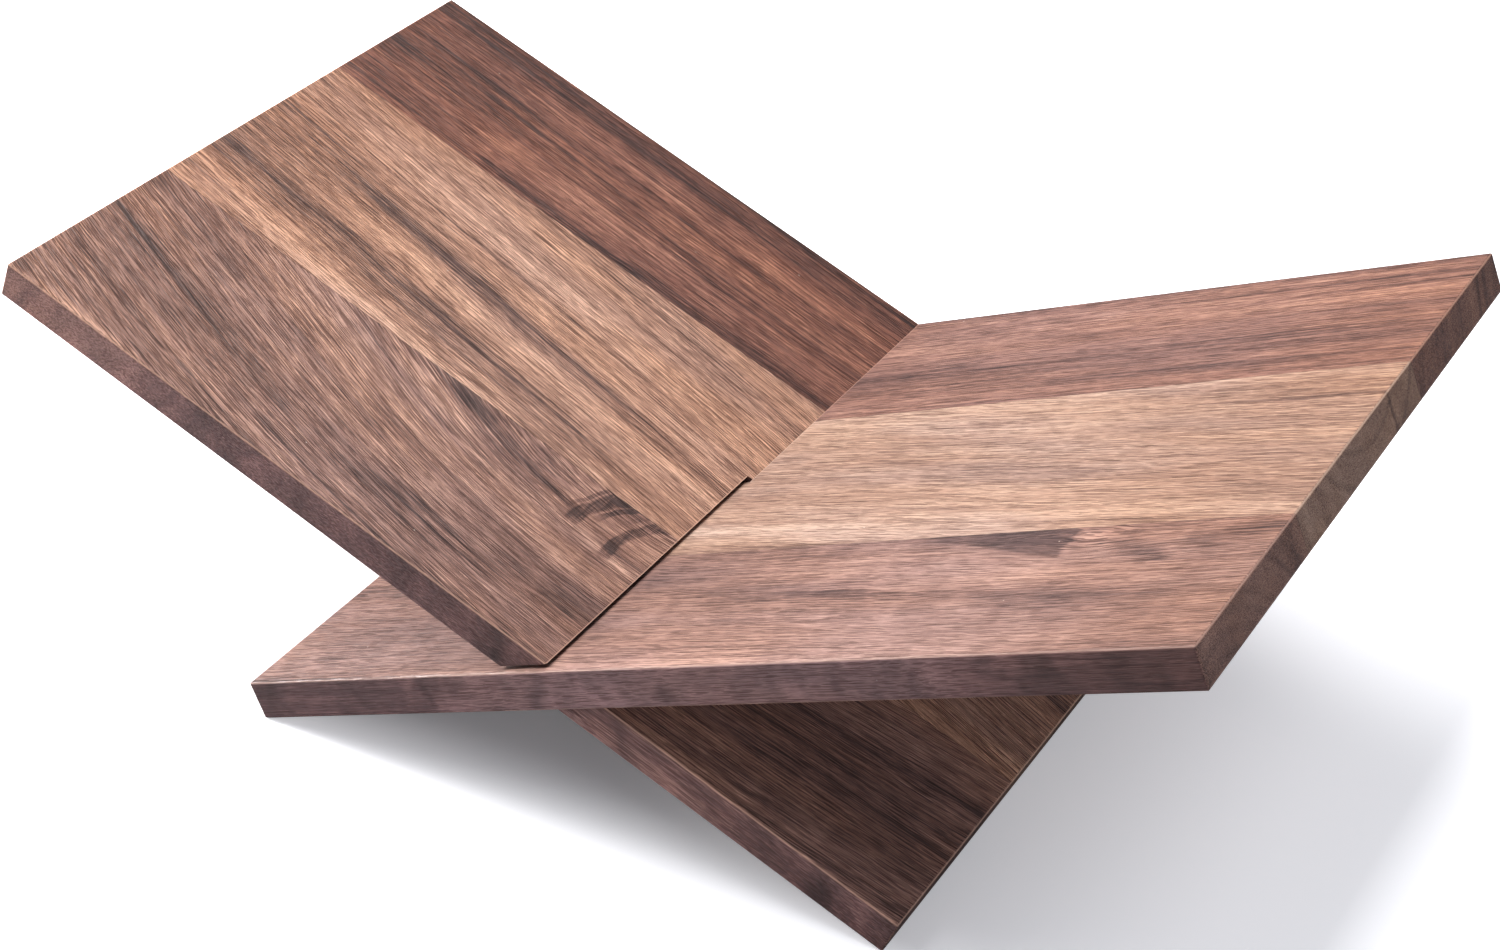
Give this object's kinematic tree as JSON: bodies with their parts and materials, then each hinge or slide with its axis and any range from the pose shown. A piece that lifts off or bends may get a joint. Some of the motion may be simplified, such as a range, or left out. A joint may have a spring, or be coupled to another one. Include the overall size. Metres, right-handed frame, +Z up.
{
  "type": "album stand",
  "caption": "X-shaped table stand of interlocking solid-wood panels that slot together and hold an open album in the V between their wings.",
  "frame": {"origin": "centre of the stand's footprint, at floor level, below the line where the panels cross", "axes": "+X along the stand's length, towards the end that the right-hand panel's wing rises to; +Y along the crossing line, to the back; +Z up"},
  "size_m": [0.5238, 0.31, 0.1843],
  "materials": {
    "walnut_red_brown": "satin oil, dark reddish-brown heartwood",
    "walnut_pale": "satin oil, pale tan heartwood with sapwood streaks",
    "walnut_rose_brown": "satin oil, pinkish-brown heartwood",
    "walnut_grey_brown": "satin oil, mid-brown heartwood with a grey stripe"
  },
  "bodies": {
    "right_panel": {"right_front_stave": "walnut_rose_brown", "right_middle_stave": "walnut_pale", "right_back_upper_stave": "walnut_red_brown", "right_back_lower_stave": "walnut_red_brown"},
    "left_panel": {"left_back_stave": "walnut_red_brown", "left_middle_stave": "walnut_pale", "left_front_upper_stave": "walnut_grey_brown", "left_front_lower_stave": "walnut_grey_brown"}
  },
  "joints": [
    {"name": "take_apart_slide", "type": "slide", "parent": "right_panel", "child": "left_panel", "axis": [0, 1, 0], "range_m": [-0.0024, 0.15]}
  ]
}
